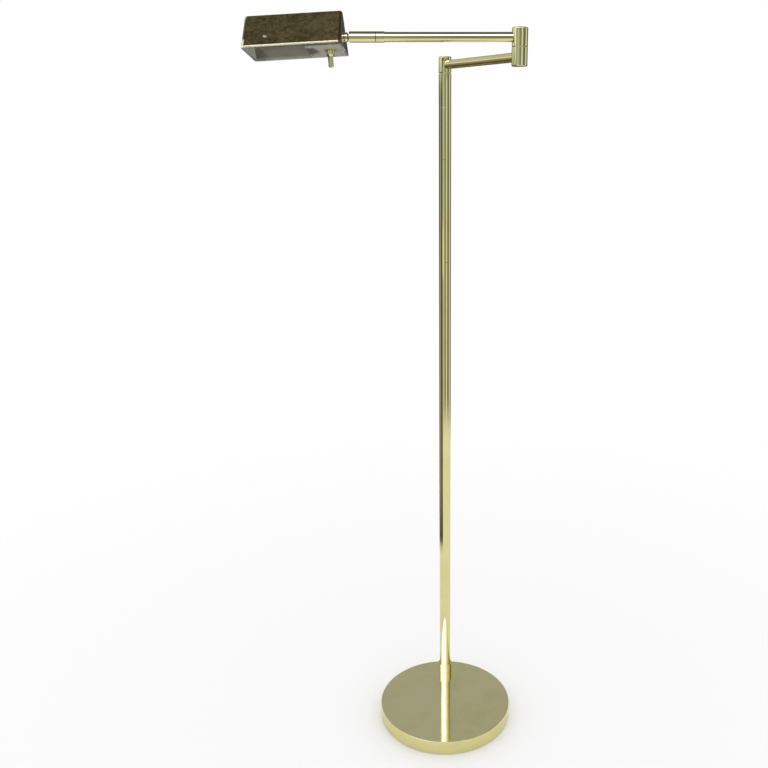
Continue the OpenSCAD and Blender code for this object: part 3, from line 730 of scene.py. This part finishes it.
def node_tree(name, inputs, kinds, links):
    """A tree that makes a mesh: its inputs and their kinds of socket, its nodes and their kinds,
    and links of (node, output, node, input). Gives the tree, its nodes and its inputs' marks."""
    tree = bpy.data.node_groups.new(name, "GeometryNodeTree")
    marks = {}
    for label, kind in inputs.items():
        made = tree.interface.new_socket(label, in_out="INPUT", socket_type="NodeSocket" + kind)
        marks[label] = made.identifier
    tree.interface.new_socket("Made", in_out="OUTPUT", socket_type="NodeSocketGeometry")
    kinds = {
        **kinds,
        "given": "NodeGroupInput",
        "real": "GeometryNodeRealizeInstances",
        "coat": "GeometryNodeSetMaterial",
        "result": "NodeGroupOutput",
    }
    links = links + [
        ("real", 0, "coat", "Geometry"),
        ("given", "Finish", "coat", "Material"),
        ("coat", 0, "result", 0),
    ]
    made = {label: tree.nodes.new(kind) for label, kind in kinds.items()}
    for start, output, end, wanted in links:
        tree.links.new(made[start].outputs[output], made[end].inputs[wanted])
    return tree, made, marks


def grown(mesh, tree, marks, **inputs):
    """The plain mesh that a node tree makes of a mesh with these inputs."""
    seed = shown("seed", mesh)
    modifier = seed.modifiers.new("grow", "NODES")
    modifier.node_group = tree
    for name, value in inputs.items():
        modifier[marks[name]] = value
    return evaluated(seed)


def evaluated(seed, *spent):
    """The plain mesh of an object with its modifiers, after which it and what it used are gone."""
    done = seed.evaluated_get(bpy.context.evaluated_depsgraph_get())
    mesh = bpy.data.meshes.new_from_object(done)
    for used in (seed, *spent):
        bpy.data.objects.remove(used)
    return mesh


def cut(mesh, cutters):
    """A mesh with blocks of (lowest, highest) corners cut out of it."""
    blank = shown("blank", mesh)
    tools = []
    for low, high in cutters:
        block = bmesh.new()
        size = Matrix.Diagonal((*(high - low), 1))
        bmesh.ops.create_cube(block, size=1, matrix=Matrix.Translation((low + high) / 2) @ size)
        tools.append(shown("tool", as_mesh(block)))
        modifier = blank.modifiers.new("cut", "BOOLEAN")
        modifier.object = tools[-1]
        modifier.operation = "DIFFERENCE"
        modifier.solver = "EXACT"
    return evaluated(blank, *tools)


slot_low, slot_high = -screw_head_h - 1 * MM, -screw_head_h + slot_depth
slots = []
for half_x, half_y in ((slot_reach, slot_w / 2), (slot_w / 2, slot_reach)):
    slots.append((Vector((-half_x, -half_y, slot_low)), Vector((half_x, half_y, slot_high))))
screw_mesh = cut(as_mesh(turned(rounded(screw_corners), steps=32)), slots)
screw_row, row_nodes, row_marks = node_tree(
    "row_of_screws",
    {"Screw": "Geometry", "Count": "Int", "Pitch": "Float", "Finish": "Material"},
    {
        "before": "ShaderNodeMath",
        "half": "ShaderNodeMath",
        "first": "ShaderNodeCombineXYZ",
        "step": "ShaderNodeCombineXYZ",
        "line": "GeometryNodeMeshLine",
        "copies": "GeometryNodeInstanceOnPoints",
    },
    [
        ("given", "Count", "before", 0),
        ("before", 0, "half", 0),
        ("given", "Pitch", "half", 1),
        ("half", 0, "first", "Y"),
        ("given", "Pitch", "step", "Y"),
        ("given", "Count", "line", "Count"),
        ("first", 0, "line", "Start Location"),
        ("step", 0, "line", "Offset"),
        ("line", "Mesh", "copies", "Points"),
        ("given", "Screw", "copies", "Instance"),
        ("copies", 0, "real", 0),
    ],
)
row_nodes["before"].operation = "MULTIPLY_ADD"
row_nodes["before"].inputs[1].default_value = -0.5
row_nodes["before"].inputs[2].default_value = 0.5
row_nodes["half"].operation = "MULTIPLY"
screws = grown(
    screw_mesh, screw_row, row_marks, Count=screw_count, Pitch=screw_pitch, Finish=steel
)
screw_place = head @ Matrix.Translation((box_x - screw_foot / 2, 0, open_z))
piece("cross_screws", screws, screw_place, steel, "head", "plated_steel", "plate_screws")


# Lampholder. A ceramic holder is pushed through the wall and stands on its flange. It is an
# off-white body with fine specks and a thin glaze.
ceramic_pale = (0.80, 0.78, 0.72)
ceramic_deep = (0.70, 0.66, 0.58)
ceramic_speck = (0.34, 0.28, 0.20)


def ceramic_surface(place):
    cloud = noise(place, 7 * MM, 4)
    speck = rise(noise(place, 0.8 * MM, 2), 0.70, 0.76)
    colour = between(speck * 0.6, between(cloud, ceramic_pale, ceramic_deep), ceramic_speck)
    return principled(place, colour, 0.28 + cloud * 0.2, Normal=bump(cloud, 0.08 * MM))


dress(material("ceramic", ceramic_surface), "lamp_holder")


# Bulb. A small tubular bulb of clear glass lies along the shade, with a coiled tungsten filament
# on two leads. The glass is a thin shell, and a little dust dulls it.
lamp_z = 7 * MM
flange_h = 3 * MM
cap_d = 11 * MM
bulb_d = 15 * MM
bulb_len = 46 * MM
bulb_taper = 5 * MM
bulb_shoulder = 2 * MM
bulb_edge = 7 * MM
bulb_wall = 0.7 * MM
coil_len = 20 * MM
coil_start = 14 * MM
coil_r = 0.8 * MM
coil_turns = 24.0
coil_wire_r = 0.18 * MM
lead_d = 0.6 * MM
far_lead_x = -3 * MM
glass_clear = (0.96, 0.97, 0.97, 1)
tungsten_grey = (0.30, 0.29, 0.28)
tungsten_sooty = (0.14, 0.13, 0.13)


def glass_surface(place):
    roughness = 0.01 + rise(noise(place, 6 * MM, 4), 0.5, 0.8) * 0.08
    return principled(place, glass_clear, roughness, Transmission_Weight=1.0, IOR=1.47)


def tungsten_surface(place):
    soot = noise(place, 1 * MM, 3)
    colour = between(soot, tungsten_grey, tungsten_sooty)
    return principled(place, colour, 0.35 + soot * 0.2, Metallic=1.0)


def bulb_skin(inset):
    """The bulb's turned form, inset inside its outer skin."""
    corners = [
        (0, inset, 0),
        (cap_d / 2 - inset, inset, 0),
        (bulb_d / 2 - inset, bulb_taper, bulb_shoulder),
        (bulb_d / 2 - inset, bulb_len - inset, bulb_edge - inset),
        (0, bulb_len - inset, 0),
    ]
    return turned(rounded(corners, steps=10), steps=64)


glass_shape = bulb_skin(0)
hollow = bulb_skin(bulb_wall)
bmesh.ops.reverse_faces(hollow, faces=hollow.faces)
take_in(glass_shape, hollow)
bulb_place = head @ Matrix.Translation((box_x + box_wall + flange_h, 0, lamp_z)) @ along_shade
glass_mesh = as_mesh(glass_shape)
clear_glass = material("bulb_glass", glass_surface)
piece("bulb_shell", glass_mesh, bulb_place, clear_glass, "head", "bulb_glass", "bulb_glass")

leads = bmesh.new()
for lead_x, lead_top in ((coil_r, coil_start), (far_lead_x, coil_start + coil_len)):
    lead_outline = [(0, bulb_wall), (lead_d / 2, bulb_wall), (lead_d / 2, lead_top), (0, lead_top)]
    lead = turned(lead_outline, steps=12)
    bmesh.ops.translate(lead, verts=lead.verts, vec=(lead_x, 0, -coil_start))
    take_in(leads, lead)
coil, coil_nodes, coil_marks = node_tree(
    "coiled_filament",
    {
        "Lead": "Geometry",
        "Turns": "Float",
        "Radius": "Float",
        "Height": "Float",
        "Wire": "Float",
        "Finish": "Material",
    },
    {
        "spiral": "GeometryNodeCurveSpiral",
        "wire": "GeometryNodeCurvePrimitiveCircle",
        "sweep": "GeometryNodeCurveToMesh",
        "joined": "GeometryNodeJoinGeometry",
    },
    [
        ("given", "Turns", "spiral", "Rotations"),
        ("given", "Radius", "spiral", "Start Radius"),
        ("given", "Radius", "spiral", "End Radius"),
        ("given", "Height", "spiral", "Height"),
        ("given", "Wire", "wire", "Radius"),
        ("spiral", 0, "sweep", "Curve"),
        ("wire", 0, "sweep", "Profile Curve"),
        ("sweep", 0, "joined", 0),
        ("given", "Lead", "joined", 0),
        ("joined", 0, "real", 0),
    ],
)
coil_nodes["spiral"].inputs["Resolution"].default_value = 14
coil_nodes["wire"].inputs["Resolution"].default_value = 6
coil_nodes["sweep"].inputs["Fill Caps"].default_value = True
tungsten = material("tungsten", tungsten_surface)
filament = grown(
    as_mesh(leads),
    coil,
    coil_marks,
    Turns=coil_turns,
    Radius=coil_r,
    Height=coil_len,
    Wire=coil_wire_r,
    Finish=tungsten,
)
filament_place = bulb_place @ Matrix.Translation((0, 0, coil_start))
piece("filament", filament, filament_place, tungsten, "head", "plated_steel")


# Floor and light. A pale floor fades out into a white studio, and what isn't a mirror is lit
# evenly. Mirrors see a broad soft box behind the camera, cards round the lamp that draw the
# streaks of the brass, and a dark flag on the left of the floor. Angles are in degrees.
degrees = 180 / math.pi
floor_middle = Vector((0.05, 0, 0))
pole_foot = Vector((pole_axis.x, pole_axis.y, 0))
floor_r = 1.7
mirror_fade = 1.2
soft_fade = 0.1
flag_side = (36, 50)
flag_reach = (0.5, 0.6)
paper_grey = (0.87, 0.87, 0.87)
paper_white = (0.91, 0.91, 0.91)


def floor_surface(place):
    """Matt paper that fades out, sooner for the camera than for mirrors, clear from below."""
    colour = between(noise(place, 3 * MM, 3), paper_grey, paper_white)
    solid = principled(place, colour, 0.8)
    clear = place.node("ShaderNodeBsdfTransparent")
    out = vector_sum("DISTANCE", place, floor_middle, "Value")
    x, y, _ = parts(place)
    to_left = place.sum("ARCTAN2", pole_axis.x - x, pole_axis.y - y) * degrees
    from_pole = vector_sum("DISTANCE", place, pole_foot, "Value")
    flag = rise(to_left, *flag_side) * rise(from_pole, *flag_reach)
    mirrored = rise(out, mirror_fade, floor_r)
    mirrored = mirrored + flag * (1 - mirrored)
    seen = place.node("ShaderNodeLightPath", output="Is Camera Ray")
    gone = mirrored * (1 - seen) + rise(out, soft_fade, floor_r) * seen
    below = place.node("ShaderNodeNewGeometry", output="Backfacing")
    gone = gone + (1 - gone) * below
    return place.node("ShaderNodeMixShader", {}, {0: gone, 1: solid, 2: clear})


floor_shape = turned([(0, 0), (mirror_fade, 0), (floor_r, 0)], steps=128)
bmesh.ops.reverse_faces(floor_shape, faces=floor_shape.faces)
floor_mesh = as_mesh(floor_shape)
floor_mesh.transform(Matrix.Translation(floor_middle))
floor_mesh.materials.append(material("floor", floor_surface))
floor = shown("floor", floor_mesh)


def within(value, low, low_full, high_full, high):
    """0 outside low and high, and 1 between low_full and high_full."""
    return rise(value, low, low_full) * (1 - rise(value, high_full, high))


def strip(value, middle, half_full, half):
    """1 up to half_full from a middle, and 0 from half on."""
    return 1 - rise(absolute(value - middle), half_full, half)


world = bpy.data.worlds.new("studio")
bpy.context.scene.world = world
world.use_nodes = True
world.node_tree.nodes.clear()
ray = Socket(world.node_tree).node("ShaderNodeTexCoord", output="Generated")
ray_x, ray_y, ray_z = parts(ray)
height = ray.node("ShaderNodeMath", {"operation": "ARCSINE"}, {0: ray_z}) * degrees
to_right = ray.sum("ARCTAN2", ray_x, ray_y * -1) * degrees
to_left = to_right * -1

# The soft box is brightest behind the camera, and dims towards the sides and the far side.
soft_share = 1
for side, start, end, loss in (
    (to_right, 20, 75, 0.3),
    (to_right, 60, 110, 0.49),
    (to_right, 140, 160, -0.1),
    (to_left, 65, 118, 0.58),
    (to_left, 140, 165, 0.11),
):
    soft_share = soft_share - rise(side, start, end) * loss
far_side = rise(absolute(to_right), 105, 135)
soft_band = rise(height, 16, 25) * (1 - rise(height + far_side * 12, 54, 66))
ahead = (1 - rise(to_right, -20, 45)) * (1 - rise(to_left, 45, 100))
hot_spot = within(height, 27, 32, 42, 47) * ahead
soft_box = soft_band * soft_share * 1.6 + hot_spot * 1.8
left_panel = within(height, 2, 5, 17, 25) * within(to_left, 60, 75, 135, 155) * 0.62
ceiling = rise(height, 48, 62) * 0.14

# The wall of the studio carries cards of (azimuth to the right, half width, light added).
wall = 0.44
for card_middle, card_half, card_light in (
    (-150, 48, -0.35),
    (-68, 20, -0.33),
    (-27, 12, 0.3),
    (5, 9, -0.16),
    (31, 11, 0.58),
    (64, 19, -0.26),
    (98, 14, 0.56),
    (160, 52, -0.35),
):
    wall = wall + strip(to_right, card_middle, card_half * 0.45, card_half) * card_light
wall_foot = rise(height, -28, -23)
wall = wall * wall_foot + (1 - wall_foot) * 0.1
wall = wall + rise(height, 2.5, 4.5) * strip(to_right, -68, 9, 20) * 0.6
wall = wall - (1 - rise(height, -9, -4)) * strip(to_right, -68, 9, 24) * 0.07
wall = wall + strip(to_right, -40, 4, 12) * strip(height, -7.7, 1.2, 2.4) * 0.6
studio = soft_box + left_panel + ceiling + wall * (1 - rise(height, 14, 22))

white = (1.0, 1.0, 1.0)
wall_tint = (0.92, 1.01, 1.06)
soft_tint = (0.96, 0.98, 1.14)
ahead_tint = (1.0, 1.0, 1.7)
hot_tint = (1.0, 1.08, 3.2)
floor_tint = (1.1, 0.84, 0.58)
ceiling_tint = (1.05, 0.92, 1.3)
low_left = (1 - rise(height, -16, -11)) * rise(to_left, 100, 120)
above = between(hot_spot, between(ahead, soft_tint, ahead_tint), hot_tint)
tint = between(within(height, -8, -3, 6, 9), white, wall_tint)
tint = between(low_left, between(rise(height, 19, 26), tint, above), floor_tint)
tint = between(rise(height, 52, 64), tint, ceiling_tint)

soft_light = 1.08
seen = ray.node("ShaderNodeLightPath", output="Is Camera Ray")
glossy = ray.node("ShaderNodeLightPath", output="Is Glossy Ray")
bounces = ray.node("ShaderNodeLightPath", output="Diffuse Depth")
mirror = glossy * (1 - rise(bounces, 0.2, 0.8))
light = studio * mirror + (1 - mirror) * soft_light
strength = light * (1 - seen) + seen
colour = between(mirror, white, tint)
shine = ray.node("ShaderNodeBackground", {}, {"Color": colour, "Strength": strength})
ray.node("ShaderNodeOutputWorld", {}, {"Surface": shine})


# Camera. It stands 1.37 m in front of the pole, just below the arms, and looks down by 15 degrees.
# The lens is a little over normal, and the shift sets the lamp where the photograph has it.
camera_back = 1368.5 * MM
camera_up = 976.1 * MM
camera_pitch = 15.42
frame_px = 768
focal_px = 860.7
centre_px = (445, 366.8)
camera = shown("camera", bpy.data.cameras.new("camera"))
camera.data.sensor_width = 36
camera.data.lens = camera.data.sensor_width * focal_px / frame_px
camera.data.shift_x = 0.5 - centre_px[0] / frame_px
camera.data.shift_y = centre_px[1] / frame_px - 0.5
camera.location = (pole_axis.x, pole_axis.y - camera_back, camera_up)
camera.rotation_euler = (math.radians(90 - camera_pitch), 0, 0)
bpy.context.scene.camera = camera
bpy.context.scene.view_settings.view_transform = "Standard"
